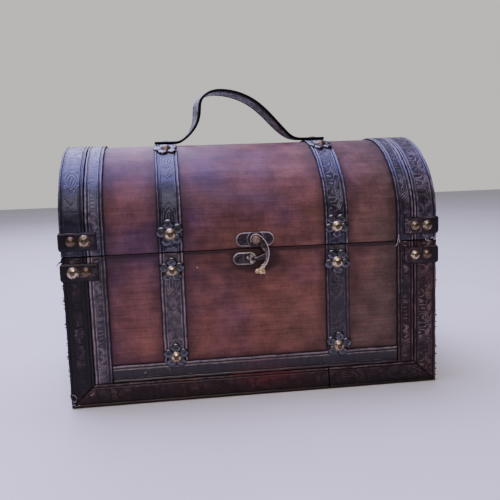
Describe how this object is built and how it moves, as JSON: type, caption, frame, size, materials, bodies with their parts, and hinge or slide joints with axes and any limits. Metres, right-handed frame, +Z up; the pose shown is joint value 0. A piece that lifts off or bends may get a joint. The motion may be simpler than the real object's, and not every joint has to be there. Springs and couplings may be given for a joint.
{
  "type": "domed wooden box",
  "caption": "Small dome-lidded wooden box with embossed leather bands and straps, domed nails on flower washers, a swing-hook latch, rear hinges and a slumped strap handle.",
  "frame": {"origin": "middle of the underside, on the surface that the box stands on", "axes": "+Z up, +X to the right along the front, front face towards -Y"},
  "size_m": [0.3428, 0.1947, 0.2862],
  "materials": {
    "mahogany_stained_wood": "satin stain, mottled",
    "embossed_leather": "embossed, semi-gloss",
    "antique_brass_nails": "aged, worn bright on the dome",
    "pewter_flowers": "dark pewter",
    "blackened_tacks": "satin",
    "antique_bronze_latch": "dark patina, worn edges",
    "dark_brass_hinges": "dull"
  },
  "bodies": {
    "box": {"body_back_board": "mahogany_stained_wood", "body_back_left_corner_band": "embossed_leather", "body_back_left_inner_band": "embossed_leather", "body_back_left_strap": "embossed_leather", "body_back_lower_band": "embossed_leather", "body_back_right_corner_band": "embossed_leather", "body_back_right_inner_band": "embossed_leather", "body_back_right_strap": "embossed_leather", "body_back_upper_band": "embossed_leather", "body_bottom_board": "mahogany_stained_wood", "body_corner_patches": "embossed_leather", "body_flowers": "pewter_flowers", "body_front_board": "mahogany_stained_wood", "body_front_left_corner_band": "embossed_leather", "body_front_left_inner_band": "embossed_leather", "body_front_left_strap": "embossed_leather", "body_front_lower_band": "embossed_leather", "body_front_right_corner_band": "embossed_leather", "body_front_right_inner_band": "embossed_leather", "body_front_right_strap": "embossed_leather", "body_front_upper_band": "embossed_leather", "body_left_board": "mahogany_stained_wood", "body_left_end_band": "embossed_leather", "body_nails": "antique_brass_nails", "body_right_board": "mahogany_stained_wood", "body_right_end_band": "embossed_leather", "hinge_body_leaves": "dark_brass_hinges", "hinge_body_screws": "dark_brass_hinges", "hinge_pins": "dark_brass_hinges", "latch_body_pins": "antique_bronze_latch", "latch_keeper": "antique_bronze_latch", "latch_lower_plate": "antique_bronze_latch"},
    "lid": {"handle_strap": "embossed_leather", "handle_tacks": "blackened_tacks", "hinge_lid_leaves": "dark_brass_hinges", "hinge_lid_screws": "dark_brass_hinges", "latch_lid_pins": "antique_bronze_latch", "latch_rivet": "antique_bronze_latch", "latch_upper_plate": "antique_bronze_latch", "lid_back_rail": "mahogany_stained_wood", "lid_corner_patches": "embossed_leather", "lid_flowers": "pewter_flowers", "lid_front_rail": "mahogany_stained_wood", "lid_left_corner_band": "embossed_leather", "lid_left_end": "mahogany_stained_wood", "lid_left_end_arch": "embossed_leather", "lid_left_inner_band": "embossed_leather", "lid_left_strap": "embossed_leather", "lid_nails": "antique_brass_nails", "lid_right_corner_band": "embossed_leather", "lid_right_end": "mahogany_stained_wood", "lid_right_end_arch": "embossed_leather", "lid_right_inner_band": "embossed_leather", "lid_right_strap": "embossed_leather", "lid_skin": "mahogany_stained_wood"},
    "hook": {"latch_hook": "antique_bronze_latch"}
  },
  "joints": [
    {"name": "lid_hinge", "type": "hinge", "parent": "box", "child": "lid", "pos_m": [0, 0.0929, 0.1363], "axis": [-1, 0, 0], "range_deg": [0, 105]},
    {"name": "hook_pivot", "type": "hinge", "parent": "lid", "child": "hook", "pos_m": [0.0005, -0.09345, 0.1445], "axis": [0, -1, 0], "range_deg": [-8, 105]}
  ]
}
